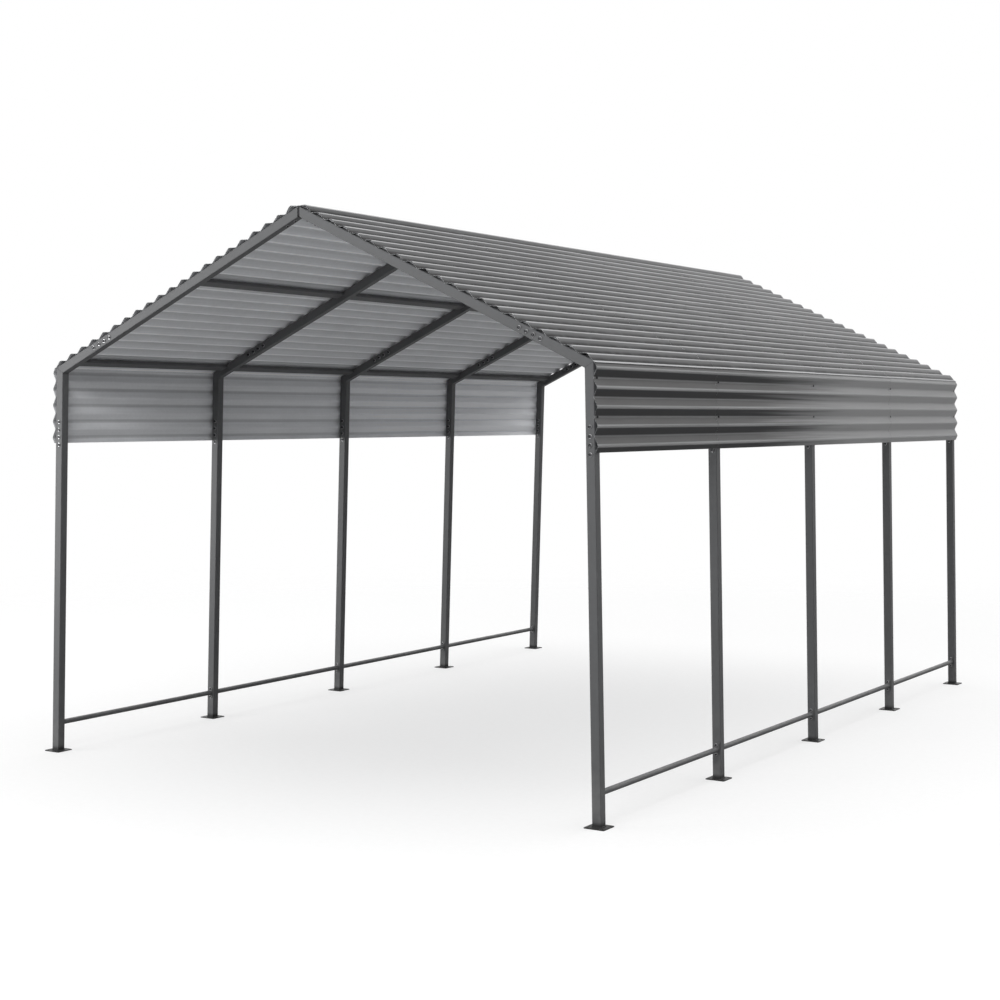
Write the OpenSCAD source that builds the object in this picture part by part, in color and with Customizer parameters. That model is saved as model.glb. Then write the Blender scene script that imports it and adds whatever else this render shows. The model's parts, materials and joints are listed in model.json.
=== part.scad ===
/* [Footprint] */
// Width between the post centre lines at floor level
base_w = 3050; // [2800:2:3400]
// Width between the post centre lines at the eaves
eave_w = 2950; // [2700:2:3300]
// Spacing of the frames along the length
bay = 1155; // [800:5:1500]
// Number of frames
frames = 5; // [3:1:7]

/* [Heights] */
// Height of the eave corner on the tube centre line
eave_h = 1880; // [1500:1:2500]
// Rise from the eave to the ridge on the tube centre line
roof_rise = 692; // [450:1:950]
// Height of the ground rails' centre line
rail_h = 139; // [80:1:400]

/* [Frame tube] */
// Outside size of the square frame tube
tube = 42; // [34:1:50]
// Wall of the frame tube
tube_wall = 1.2; // [1:0.1:3]
// Outside corner radius of the frame tube
tube_r = 3; // [2.5:0.5:6]
// Length of each arm of an eave knee, on the centre line
knee_arm = 308; // [240:1:450]
// Gap between the two rafters at the ridge
ridge_gap = 12; // [2:1:16]
// Gap where two tubes butt at a splice, or meet a rail or purlin
butt_gap = 0.3; // [0.1:0.1:1]

/* [Splice sleeves] */
// Length of the sleeve inside a post or rafter splice
sleeve_len = 160; // [100:2:240]
// Wall of the sleeves
sleeve_wall = 1.6; // [1:0.1:3]
// Clearance between a sleeve and the tube around it
sleeve_gap = 0.3; // [0.1:0.1:0.8]
// Length of each arm of the bent sleeve at the ridge
ridge_arm = 120; // [80:2:200]

/* [Base plates] */
// Side of the square base plate
plate = 95; // [80:1:150]
// Thickness of the base plate
plate_t = 4; // [3:0.5:10]
// Corner radius of the base plate
plate_r = 6; // [2:0.5:10]
// Diameter of the anchor holes
anchor_d = 10.5; // [8:0.5:14]
// Spacing of the anchor holes
anchor_pitch = 68; // [58:1:72]

/* [Purlins] */
// Width of the purlin tube, along the slope
purlin_w = 45; // [30:1:60]
// Depth of the purlin tube
purlin_h = 20; // [15:1:30]
// Wall of the purlin tube
purlin_wall = 1.2; // [1:0.1:2]
// Outside corner radius of the purlin tube
purlin_r = 3; // [2.5:0.5:5]
// Distance of the middle purlin from the ridge, along the slope
mid_purlin_s = 706; // [450:1:1000]
// Distance of the eave purlin from the eave fold, along the slope
eave_purlin_s = 83; // [60:1:160]

/* [Ground rails] */
// Diameter of the round ground rail
rail_d = 25; // [20:1:34]
// Wall of the ground rail
rail_wall = 1.2; // [1:0.1:2.5]
// Width of the end flange of a rail
flange_w = 30; // [26:1:36]
// Height of the end flange of a rail
flange_h = 60; // [50:1:80]
// Thickness of the end flange of a rail
flange_t = 3; // [2:0.5:6]
// Corner radius of the end flange of a rail
flange_r = 7; // [3:0.5:12]

/* [Corrugated sheets] */
// Thickness of the sheet
sheet_t = 0.6; // [0.4:0.1:1]
// Corrugations on each slope, from the ridge to the eave fold
slope_ribs = 21; // [18:1:24]
// Corrugations on the upper sheet of each slope
upper_ribs = 14; // [8:1:16]
// Corrugations on the side skirt
skirt_ribs = 5; // [3:1:6]
// Depth of a corrugation
rib_depth = 16; // [10:0.5:19]
// Bend radius at the crests and valleys of the sheet
rib_r = 14; // [8:0.5:16]
// Height of the two beads of the ridge cap
cap_depth = 18; // [17:0.5:30]
// Reach of the sheets past the end frames
sheet_overhang = 4; // [0:1:40]
// Reach of the roof sheet past the eave fold
eave_overhang = 13; // [12:1:18]
// Distance of the skirt's first crest below the eave fold
skirt_first = 27; // [22:1:34]
// Length of sheet below the bend of the skirt's last crest
skirt_hem = 24; // [8:1:30]
// Gap between the roof sheet and the top edge of the skirt
skirt_gap = 0.8; // [0.6:0.1:2]
// Length of sheet that laps over the next one at a frame
end_lap = 60; // [40:2:120]
// Clearance between a sheet and what it lies on
seat = 0.3; // [0.1:0.1:0.5]

/* [Hidden] */
side_names = ["left", "right"];
frame_parts = ["post", "knee", "rafter"];
side_parts = ["mid_purlin", "eave_purlin", "ground_rail", "roof_upper", "roof_lower", "skirt"];

// Segments in a rounded corner or in half a sheet bend
arc_steps = 2;
// Smallest corner radius inside a tube
least_r = 0.2;
// Larger than any piece, for cutting blocks
beyond = 2 * (base_w + eave_h + roof_rise);

// Angles of the frame: roof slope, and outward lean of the posts
slope_a = atan2(roof_rise, eave_w / 2);
splay_a = atan2((base_w - eave_w) / 2, eave_h);
leg_len = norm([(base_w - eave_w) / 2, eave_h]);
rafter_len = norm([eave_w / 2, roof_rise]);
ridge_h = eave_h + roof_rise;

// Unit vectors from the right eave corner, up the rafter and down the post
up_rafter = [-cos(slope_a), sin(slope_a)];
down_post = [sin(splay_a), -cos(splay_a)];
mitre_n = down_post - up_rafter;
mitre_a = atan2(mitre_n[0], mitre_n[1]);

// Top of the rafters at the ridge, and the outer point of the eave mitre where the sheets fold
ridge_top = ridge_h + tube / 2 / cos(slope_a);
mitre_reach = tube / 2 / sin(acos(up_rafter * down_post) / 2);
fold = [eave_w / 2, eave_h] - mitre_reach * (up_rafter + down_post) / norm(up_rafter + down_post);
slope_len = fold[0] / cos(slope_a);

// Corrugation: pitch, side angle and the lift that lets one sheet lie on another
rib_pitch = slope_len / slope_ribs;
rib_a = side_angle(rib_depth);
lap_lift = (sheet_t + seat) / cos(rib_a);
bend_reach = rib_r * sin(rib_a);

// Skirt: start of its first bend, height of that side at the fold, and its top edge under the roof sheet
eave_a = slope_a + splay_a;
first_bend = bend(true, skirt_first, sheet_t / 2, rib_depth, rib_a, -arc_steps, -arc_steps)[0];
fold_rise = first_bend[1] - first_bend[0] * tan(rib_a) + seat + sheet_t / 2;
skirt_top = (fold_rise * tan(eave_a) + (skirt_gap - seat) / cos(eave_a)) / (1 - tan(rib_a) * tan(eave_a));
skirt_lip = (first_bend[0] - skirt_top) / cos(rib_a);

// Ridge cap: lies on the higher of the lapped sheets
cap_seat = 2 * seat + sheet_t + lap_lift;
cap_a = side_angle(cap_depth);

// Position of frame i along the length, counted from 1 at the front
function frame_y(i) = (i - (frames + 1) / 2) * bay;

// Angle of the straight side of a corrugation with bends of rib_r and the given depth
function side_angle(depth) =
    let (run = rib_pitch / 2, fall = depth - 2 * rib_r)
    asin(2 * rib_r / norm([run, fall])) + atan2(fall, run);

// Outline of a rectangle with rounded corners, centred
function round_rect(w, h, r) = [
    for (q = [0:3]) for (j = [0:arc_steps])
        let (a = 90 * (q + j / arc_steps), sx = (q == 0 || q == 3) ? 1 : -1, sy = q < 2 ? 1 : -1)
        [sx * (w / 2 - r) + r * cos(a), sy * (h / 2 - r) + r * sin(a)]];

// Bend of a sheet face at distance s: crest or valley, from side to side in steps j0 to j1
function bend(crest, s, face, depth, a, j0, j1) =
    let (r = crest ? rib_r + face : rib_r - face, c = crest ? depth - rib_r : rib_r, up = crest ? 1 : -1)
    [for (j = [j0:j1]) [s + r * sin(a * j / arc_steps), c + up * r * cos(a * j / arc_steps)]];

// Raise a run of points by a lift
function raised(points, lift) = [for (p = points) p + [0, lift]];

// Points of a run in the opposite order
function reversed(points) = [for (i = [len(points) - 1:-1:0]) points[i]];

// Face of the upper roof sheet: from the ridge valley, over its last crest, down to the next valley
function upper_face(face) = concat(
    bend(false, 0, face, rib_depth, rib_a, 0, arc_steps),
    [for (i = [1:upper_ribs - 1]) each concat(
        bend(true, (i - 0.5) * rib_pitch, face, rib_depth, rib_a, -arc_steps, arc_steps),
        bend(false, i * rib_pitch, face, rib_depth, rib_a, -arc_steps, arc_steps))],
    raised(concat(
        bend(true, (upper_ribs - 0.5) * rib_pitch, face, rib_depth, rib_a, -arc_steps, arc_steps),
        bend(false, upper_ribs * rib_pitch, face, rib_depth, rib_a, -arc_steps, -arc_steps)), lap_lift));

// Face of the lower roof sheet: from under the lap crest to the flat edge past the eave fold
function lower_face(face) = concat(
    bend(true, (upper_ribs - 0.5) * rib_pitch, face, rib_depth, rib_a, -arc_steps, arc_steps),
    [for (i = [upper_ribs:slope_ribs - 1]) each concat(
        bend(false, i * rib_pitch, face, rib_depth, rib_a, -arc_steps, arc_steps),
        bend(true, (i + 0.5) * rib_pitch, face, rib_depth, rib_a, -arc_steps, arc_steps))],
    bend(false, slope_len, face, rib_depth, rib_a, -arc_steps, 0),
    [[slope_len + eave_overhang, face]]);

// Face of the skirt: a lip under the roof sheet, crests and valleys, and the side below the last crest
function skirt_face(face) =
    let (first = bend(true, skirt_first, face, rib_depth, rib_a, -arc_steps, arc_steps),
        rest = [for (i = [1:skirt_ribs - 1]) each concat(
            bend(false, skirt_first + (i - 0.5) * rib_pitch, face, rib_depth, rib_a, -arc_steps, arc_steps),
            bend(true, skirt_first + i * rib_pitch, face, rib_depth, rib_a, -arc_steps, arc_steps))])
    concat(
        [first[0] - skirt_lip * [cos(rib_a), sin(rib_a)]],
        first,
        rest,
        [rest[len(rest) - 1] + skirt_hem * [cos(rib_a), -sin(rib_a)]]);

// Face of half the ridge cap: valley at the ridge, one bead, and the outer side down to the sheet
function cap_face(face) = concat(
    [[-rib_pitch / 2, face]],
    bend(false, 0, face, cap_depth, cap_a, 0, arc_steps),
    bend(true, rib_pitch / 2, face, cap_depth, cap_a, -arc_steps, arc_steps),
    bend(false, rib_pitch, face, cap_depth, cap_a, -arc_steps, -arc_steps));

// Both faces of a sheet, closed into one outline
function sheet_outline(top, under) = concat(top, reversed(under));

// Place children on the other side of the carport
module side(name) {
    if (name == "left") mirror([1, 0, 0]) children();
    else children();
}

// Frames of reference on the right side: down the post, up the rafter, on the slope, on the post face
module down_leg() {
    translate([eave_w / 2, 0, eave_h]) rotate([0, 180 - splay_a, 0]) children();
}

module up_slope() {
    translate([eave_w / 2, 0, eave_h]) rotate([0, slope_a - 90, 0]) children();
}

module on_slope() {
    translate([0, 0, ridge_top]) rotate([0, slope_a, 0]) children();
}

module on_leg_face() {
    translate([fold[0], 0, fold[1]]) rotate([0, 90 - splay_a, 0]) children();
}

// Extrude an outline in X and Z along the length, from y0 to y1
module along_y(y0, y1) {
    translate([0, y1, 0]) rotate([90, 0, 0]) linear_extrude(y1 - y0) children();
}

// Hollow tube outline
module tube_outline(w, h, r, wall) {
    difference() {
        polygon(round_rect(w, h, r));
        polygon(round_rect(w - 2 * wall, h - 2 * wall, max(r - wall, least_r)));
    }
}

// Length of frame tube along local Z, from z0 to z1
module frame_tube(z0, z1) {
    translate([0, 0, z0]) linear_extrude(z1 - z0) tube_outline(tube, tube, tube_r, tube_wall);
}

// Length of sleeve tube along local Z, which slides inside the frame tube
module sleeve_tube(z0, z1) {
    inset = tube_wall + sleeve_gap;
    translate([0, 0, z0]) linear_extrude(z1 - z0)
        tube_outline(tube - 2 * inset, tube - 2 * inset, max(tube_r - tube_wall, least_r), sleeve_wall);
}

// Block that holds everything right of the ridge
module right_half() {
    translate([beyond / 2, 0, 0]) cube([beyond, 2 * frames * bay, beyond], center = true);
}

// Block on the post's side (1) or the rafter's side (-1) of the eave mitre
module mitre_block(which) {
    translate([eave_w / 2, 0, eave_h]) rotate([0, mitre_a, 0])
        translate([0, 0, which * beyond / 2]) cube(beyond, center = true);
}

// Post: straight tube from the base plate to the knee splice
module post(i) {
    color("dimgray") translate([0, frame_y(i), 0]) intersection() {
        down_leg() frame_tube(knee_arm + butt_gap, leg_len + tube);
        translate([0, 0, plate_t + beyond / 2]) cube(beyond, center = true);
    }
}

// Knee: two arms of tube welded at a mitre under the eave fold
module knee(i) {
    color("dimgray") translate([0, frame_y(i), 0]) {
        intersection() {
            down_leg() frame_tube(-tube, knee_arm);
            mitre_block(1);
        }
        intersection() {
            up_slope() frame_tube(-tube, knee_arm);
            mitre_block(-1);
        }
    }
}

// Rafter: straight tube from the knee splice to a plumb cut at the ridge
module rafter(i) {
    color("dimgray") translate([0, frame_y(i), 0]) intersection() {
        up_slope() frame_tube(knee_arm + butt_gap, rafter_len + tube);
        translate([ridge_gap / 2, 0, 0]) right_half();
    }
}

// Sleeves inside the post and rafter splices
module splice_sleeves() {
    color("gray") for (name = side_names) side(name) for (i = [1:frames]) translate([0, frame_y(i), 0]) {
        down_leg() sleeve_tube(knee_arm - sleeve_len / 2, knee_arm + sleeve_len / 2);
        up_slope() sleeve_tube(knee_arm - sleeve_len / 2, knee_arm + sleeve_len / 2);
    }
}

// Bent sleeves that join the rafters at the ridge
module ridge_sleeves() {
    color("gray") for (i = [1:frames]) translate([0, frame_y(i), 0]) for (name = side_names) side(name)
        intersection() {
            up_slope() sleeve_tube(rafter_len - ridge_arm, rafter_len + tube);
            right_half();
        }
}

// Square base plates with four anchor holes, under each post
module base_plates() {
    color("dimgray") for (name = side_names) side(name) for (i = [1:frames])
        translate([base_w / 2, frame_y(i), 0]) difference() {
            linear_extrude(plate_t) polygon(round_rect(plate, plate, plate_r));
            for (x = [-1, 1]) for (y = [-1, 1])
                translate([x * anchor_pitch / 2, y * anchor_pitch / 2, -plate_t])
                    cylinder(h = 3 * plate_t, d = anchor_d, $fn = 32);
        }
}

// Purlins between the rafters, tops flush, with their middle s down the slope
module purlins(s) {
    color("dimgray") on_slope() for (i = [1:frames - 1])
        translate([s, 0, -purlin_h / 2])
            along_y(frame_y(i) + tube / 2 + butt_gap, frame_y(i + 1) - tube / 2 - butt_gap)
                tube_outline(purlin_w, purlin_h, purlin_r, purlin_wall);
}

// Middle purlin, placed from the ridge
module mid_purlin() {
    purlins(mid_purlin_s);
}

// Eave purlin, placed from the eave fold
module eave_purlin() {
    purlins(slope_len - eave_purlin_s);
}

// Ground rails: round tube between the posts, with a flange at each end
module ground_rail() {
    color("dimgray") translate([base_w / 2 - rail_h * tan(splay_a), 0, rail_h]) rotate([0, -splay_a, 0])
        for (i = [1:frames - 1]) {
            y0 = frame_y(i) + tube / 2 + butt_gap;
            y1 = frame_y(i + 1) - tube / 2 - butt_gap;
            difference() {
                union() {
                    along_y(y0, y1) circle(d = rail_d, $fn = 48);
                    along_y(y0, y0 + flange_t) polygon(round_rect(flange_w, flange_h, flange_r));
                    along_y(y1 - flange_t, y1) polygon(round_rect(flange_w, flange_h, flange_r));
                }
                along_y(y0 - flange_t, y1 + flange_t) circle(d = rail_d - 2 * rail_wall, $fn = 48);
            }
        }
}

// Sheet over bay i, counted from 1 at the front: the even ones lie on their neighbours' ends
module sheet_bay(i, outline) {
    y0 = frame_y(i) - (i == 1 ? tube / 2 + sheet_overhang : end_lap / 2);
    y1 = frame_y(i + 1) + (i == frames - 1 ? tube / 2 + sheet_overhang : end_lap / 2);
    lift = i % 2 == 0 ? lap_lift : 0;
    translate([0, 0, seat + sheet_t / 2 + lift]) along_y(y0, y1) polygon(outline);
}

// Upper roof sheets, whose last crest laps over the lower ones
module roof_upper() {
    outline = sheet_outline(upper_face(sheet_t / 2), upper_face(-sheet_t / 2));
    color("slategray") on_slope() for (i = [1:frames - 1]) sheet_bay(i, outline);
}

// Lower roof sheets: the even ones have notched corners where four sheets meet
module roof_lower() {
    outline = sheet_outline(lower_face(sheet_t / 2), lower_face(-sheet_t / 2));
    notch_s = upper_ribs * rib_pitch - bend_reach + 2 * seat;
    notch_y = end_lap + 2 * seat;
    color("slategray") on_slope() for (i = [1:frames - 1]) difference() {
        sheet_bay(i, outline);
        for (f = [i, i + 1]) if (i % 2 == 0 && f < frames)
            translate([notch_s - rib_pitch, frame_y(f) - notch_y / 2, 0])
                cube([rib_pitch, notch_y, 2 * rib_depth]);
    }
}

// Skirts: sheets that hang on the posts below the eave
module skirt() {
    outline = sheet_outline(skirt_face(sheet_t / 2), skirt_face(-sheet_t / 2));
    color("slategray") on_leg_face() for (i = [1:frames - 1]) sheet_bay(i, outline);
}

// Ridge cap: one folded strip over the ridge
module ridge_cap() {
    reach = (frames - 1) * bay / 2 + tube / 2 + sheet_overhang;
    color("slategray") for (name = side_names) side(name) intersection() {
        on_slope() translate([0, 0, cap_seat + sheet_t / 2]) along_y(-reach, reach)
            polygon(sheet_outline(cap_face(sheet_t / 2), cap_face(-sheet_t / 2)));
        right_half();
    }
}

for (name = side_names) side(name) {
    for (i = [1:frames]) {
        post(i);
        knee(i);
        rafter(i);
    }
    mid_purlin();
    eave_purlin();
    ground_rail();
    roof_upper();
    roof_lower();
    skirt();
}
base_plates();
splice_sleeves();
ridge_sleeves();
ridge_cap();
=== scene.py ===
"""Looks of an open steel carport: painted tube frame, corrugated sheets, fixings and a studio stage."""
import json
import math

import bpy
import numpy as np
from bpy.props import FloatProperty, FloatVectorProperty, IntProperty, PointerProperty
from mathutils import Matrix, Vector


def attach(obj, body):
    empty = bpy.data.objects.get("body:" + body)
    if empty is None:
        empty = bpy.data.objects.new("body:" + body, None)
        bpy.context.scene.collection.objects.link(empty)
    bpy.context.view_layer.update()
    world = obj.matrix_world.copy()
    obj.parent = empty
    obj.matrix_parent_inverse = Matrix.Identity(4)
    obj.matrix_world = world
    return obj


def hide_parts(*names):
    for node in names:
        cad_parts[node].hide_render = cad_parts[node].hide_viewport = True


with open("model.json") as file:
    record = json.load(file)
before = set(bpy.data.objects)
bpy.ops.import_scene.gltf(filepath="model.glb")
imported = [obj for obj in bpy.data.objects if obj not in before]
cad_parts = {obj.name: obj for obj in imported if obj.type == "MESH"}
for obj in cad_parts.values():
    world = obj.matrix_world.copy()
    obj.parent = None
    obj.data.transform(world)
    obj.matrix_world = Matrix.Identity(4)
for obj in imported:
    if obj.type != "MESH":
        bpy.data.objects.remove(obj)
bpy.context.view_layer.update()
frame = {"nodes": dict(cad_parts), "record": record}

bl_info = {
    "name": "Carport looks",
    "version": (1, 0, 0),
    "blender": (4, 5, 0),
    "location": "3D View > Sidebar > Carport",
    "description": "Dresses an open steel carport with paint, corrugated sheets and fixings",
    "category": "Object",
}

SIDES = (("left", -1.0), ("right", 1.0))
UP, ALONG = (0.0, 0.0, 1.0), (0.0, 1.0, 0.0)

# Fixings and beads, in metres
SPLICE_BOLT = {"half_flat": 0.0065, "washer_r": 0.0085, "washer_t": 0.0014, "head_h": 0.0052}
SPLICE_NUT = {**SPLICE_BOLT, "head_h": 0.0062, "shank_r": 0.0039, "shank_h": 0.0045}
SMALL_BOLT = {"half_flat": 0.0050, "washer_r": 0.0068, "washer_t": 0.0012, "head_h": 0.0040}
BOLT_SIDES = 24
WASHER_RINGS = 4            # of a bolt head, counted from its seat
RIDGE_BOLTS = (0.4, 0.8)    # shares of the ridge sleeve's arm
RAIL_BOLT_REACH = 0.0215    # from the rail's centre to its bolts, along the post
SCREW_LIFT = 0.0006         # of the screws' washers off the sheet
BEAD_SIDES = 8
BEAD_R = {"knee_welds": 0.0013, "foot_welds": 0.0028, "rail_welds": 0.0019, "purlin_welds": 0.0019}
CLOSED_RIPPLE, OPEN_RIPPLE = 0.12, 0.14
BEAD_LIFT = 0.0004          # of rail and purlin beads off the face they lie on
FOOT_LIFT = 0.0008          # of foot beads off the base plate
KNEE_OPEN, PURLIN_OPEN = 0.8, 0.15    # where open beads stop, as shares of the tube's half and the purlin's depth
PURLIN_TURN = 0.003

# Sheets: steps of a bend, stations along Y, and the strips at a lap and at the eave that get a painted highlight
BEND_STEPS = 6
SHEET_STATIONS = 9
LAP_HIGHLIGHT, EDGE_HIGHLIGHT = (0.005, 0.008), 0.004
CAP_EASE = 0.0001           # by which the cap sits below its seat
ON_CENTRE = 1e-6            # X up to which a point counts as on the ridge line

# Painted shade on the base plates and the lowest part of each post: it starts at the first height and is full at
# the second
PLATE_SHADE_TOP, PLATE_SHADE_FULL = 0.030, 0.009

# Stage
FLOOR_R, FLOOR_RINGS, FLOOR_SIDES, FLOOR_DROP = 26.0, 12, 72, 0.0006
FLOOR_FADE = (4.5, 10.0)    # distances between which the floor turns clear to the camera
KEY_ANGLE, KEY_AIM = math.radians(95.0), (-0.06, -0.41, -0.91)
SHEEN_PANEL = {"size": (3.0, 3.4), "place": (-7.0, -8.4, 1.6), "aim": (-0.6, -1.6, 1.4)}
FILL_PANEL = {"size": (3.0, 1.6), "place": (1.2, -6.5, 4.4), "aim": (0.3, -2.2, 1.5)}


class CarportSizes(bpy.types.PropertyGroup):
    """Sizes of the frame, the sheets and the fixings, in metres."""
    base_w: FloatProperty(name="Base width", description="Between post centre lines at the floor",
                          default=3.050, unit="LENGTH")
    eave_w: FloatProperty(name="Eave width", description="Between post centre lines at the eaves",
                          default=2.950, unit="LENGTH")
    bay: FloatProperty(name="Bay", description="Spacing of the frames", default=1.155, unit="LENGTH")
    frames: IntProperty(name="Frames", description="Number of frames", default=5)
    eave_h: FloatProperty(name="Eave height", description="Eave corner on the tube centre line",
                          default=1.880, unit="LENGTH")
    roof_rise: FloatProperty(name="Rise", description="From the eave to the ridge on the centre line",
                             default=0.692, unit="LENGTH")
    tube: FloatProperty(name="Tube", description="Side of the square frame tube", default=0.042, unit="LENGTH")
    tube_r: FloatProperty(name="Tube corner", description="Corner radius of the frame tube",
                          default=0.003, unit="LENGTH")
    knee_arm: FloatProperty(name="Knee arm", description="Length of a knee arm on the centre line",
                            default=0.308, unit="LENGTH")
    ridge_arm: FloatProperty(name="Ridge arm", description="Length of a ridge sleeve arm",
                             default=0.120, unit="LENGTH")
    plate_t: FloatProperty(name="Plate", description="Thickness of a base plate", default=0.004, unit="LENGTH")
    purlin_w: FloatProperty(name="Purlin width", description="Along the slope", default=0.045, unit="LENGTH")
    purlin_h: FloatProperty(name="Purlin depth", description="Depth of a purlin", default=0.020, unit="LENGTH")
    mid_purlin_s: FloatProperty(name="Middle purlin", description="From the ridge along the slope",
                                default=0.706, unit="LENGTH")
    eave_purlin_s: FloatProperty(name="Eave purlin", description="From the eave fold along the slope",
                                 default=0.083, unit="LENGTH")
    rail_h: FloatProperty(name="Rail height", description="Ground rail centre line", default=0.139, unit="LENGTH")
    rail_d: FloatProperty(name="Rail", description="Diameter of the ground rail", default=0.025, unit="LENGTH")
    flange_t: FloatProperty(name="Flange", description="Thickness of a rail's end flange",
                            default=0.003, unit="LENGTH")
    butt_gap: FloatProperty(name="Butt gap", description="Where one tube meets another",
                            default=0.0003, unit="LENGTH")
    sheet_t: FloatProperty(name="Sheet", description="Thickness of the sheets", default=0.0006, unit="LENGTH")
    slope_ribs: IntProperty(name="Slope ribs", description="Corrugations on each slope", default=21)
    upper_ribs: IntProperty(name="Upper ribs", description="Corrugations on the upper sheet", default=14)
    skirt_ribs: IntProperty(name="Skirt ribs", description="Corrugations on the skirt", default=5)
    rib_depth: FloatProperty(name="Rib depth", description="Depth of a corrugation", default=0.016, unit="LENGTH")
    rib_r: FloatProperty(name="Bend radius", description="At crests and valleys", default=0.014, unit="LENGTH")
    cap_depth: FloatProperty(name="Cap beads", description="Height of the ridge cap's beads",
                             default=0.018, unit="LENGTH")
    sheet_overhang: FloatProperty(name="Overhang", description="Sheets past the end frames",
                                  default=0.004, unit="LENGTH")
    eave_overhang: FloatProperty(name="Eave overhang", description="Roof sheet past the eave fold",
                                 default=0.013, unit="LENGTH")
    skirt_first: FloatProperty(name="First crest", description="Of the skirt, below the eave fold",
                               default=0.027, unit="LENGTH")
    skirt_hem: FloatProperty(name="Skirt hem", description="Sheet below the bend of the last crest",
                             default=0.024, unit="LENGTH")
    skirt_gap: FloatProperty(name="Skirt gap", description="Between the roof sheet and the skirt's top edge",
                             default=0.0008, unit="LENGTH")
    end_lap: FloatProperty(name="End lap", description="Sheet over sheet at a frame", default=0.060, unit="LENGTH")
    seat: FloatProperty(name="Seat", description="Clearance under a sheet", default=0.0003, unit="LENGTH")
    splice_near: FloatProperty(name="Near bolts", description="Splice bolts nearest the joint",
                               default=0.018, unit="LENGTH")
    splice_far: FloatProperty(name="Far bolts", description="Splice bolts furthest from the joint",
                              default=0.056, unit="LENGTH")


class CarportFinish(bpy.types.PropertyGroup):
    """Colours and finishes of the carport."""
    frame_colour: FloatVectorProperty(name="Frame paint", description="Powder coat of the frame",
                                      subtype="COLOR", default=(0.122, 0.124, 0.127))
    sheet_colour: FloatVectorProperty(name="Sheet paint", description="Outer coat of the sheets",
                                      subtype="COLOR", default=(0.070, 0.071, 0.073))
    # highlight_colour is the pale colour of the painted highlights on crests, skirt valleys, laps and the eave
    # edge, and of the painted sheen towards the rear
    highlight_colour: FloatVectorProperty(name="Chalked paint", description="Outer coat where the crests have faded",
                                      subtype="COLOR", default=(0.47, 0.472, 0.478))
    back_colour: FloatVectorProperty(name="Backing coat", description="Inner coat of the sheets",
                                     subtype="COLOR", default=(0.77, 0.78, 0.80))
    bolt_colour: FloatVectorProperty(name="Bolts", description="Black plating of the bolts",
                                     subtype="COLOR", default=(0.030, 0.030, 0.032))
    sleeve_colour: FloatVectorProperty(name="Sleeves", description="Black plating of the sleeves",
                                       subtype="COLOR", default=(0.010, 0.010, 0.011))
    bare_colour: FloatVectorProperty(name="Bare steel", description="Steel that shows in scuffs",
                                     subtype="COLOR", default=(0.36, 0.36, 0.36))
    washer_colour: FloatVectorProperty(name="Washer", description="Bright zinc of the bolts' washers",
                                       subtype="COLOR", default=(0.62, 0.62, 0.63))
    # shade_colour is the dark colour of the painted shade in the roof valleys and on the base plates
    shade_colour: FloatVectorProperty(name="Grime", description="Dark dirt in the valleys and on the base plates",
                                      subtype="COLOR", default=(0.022, 0.022, 0.022))
    dust_colour: FloatVectorProperty(name="Dust", description="Dry dust that settles on the paint",
                                     subtype="COLOR", default=(0.40, 0.395, 0.385))


class CarportStage(bpy.types.PropertyGroup):
    """Camera, lamps and floor."""
    eye: FloatVectorProperty(name="Camera", description="Place of the camera", subtype="TRANSLATION",
                             default=(4.96697, -8.65702, 1.68933))
    turn: FloatVectorProperty(name="Turn", description="Pitch down, roll and yaw of the camera",
                              subtype="EULER", default=(math.radians(2.833), math.radians(0.258),
                                                        math.radians(31.715)))
    lens: FloatProperty(name="Lens", description="Focal length in mm on a 36 mm sensor", default=64.45)
    sky: FloatProperty(name="Sky", description="Even light from all round", default=0.12)
    key: FloatProperty(name="Key", description="Soft light from overhead, a little from the rear", default=3.4)
    sheen: FloatProperty(name="Sheen", description="Soft panel at the left front, in watts", default=520.0)
    fill: FloatProperty(name="Fill", description="Soft panel high in front, in watts", default=136.0)
    bounce: FloatProperty(name="Bounce", description="Light that the floor throws back", default=0.31,
                          subtype="FACTOR")
    floor_glow: FloatProperty(name="Floor glow", description="Share of white in the floor that the camera sees",
                              default=0.62, subtype="FACTOR")


def sizes():
    return bpy.context.scene.carport_sizes


def finish():
    return bpy.context.scene.carport_finish


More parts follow.
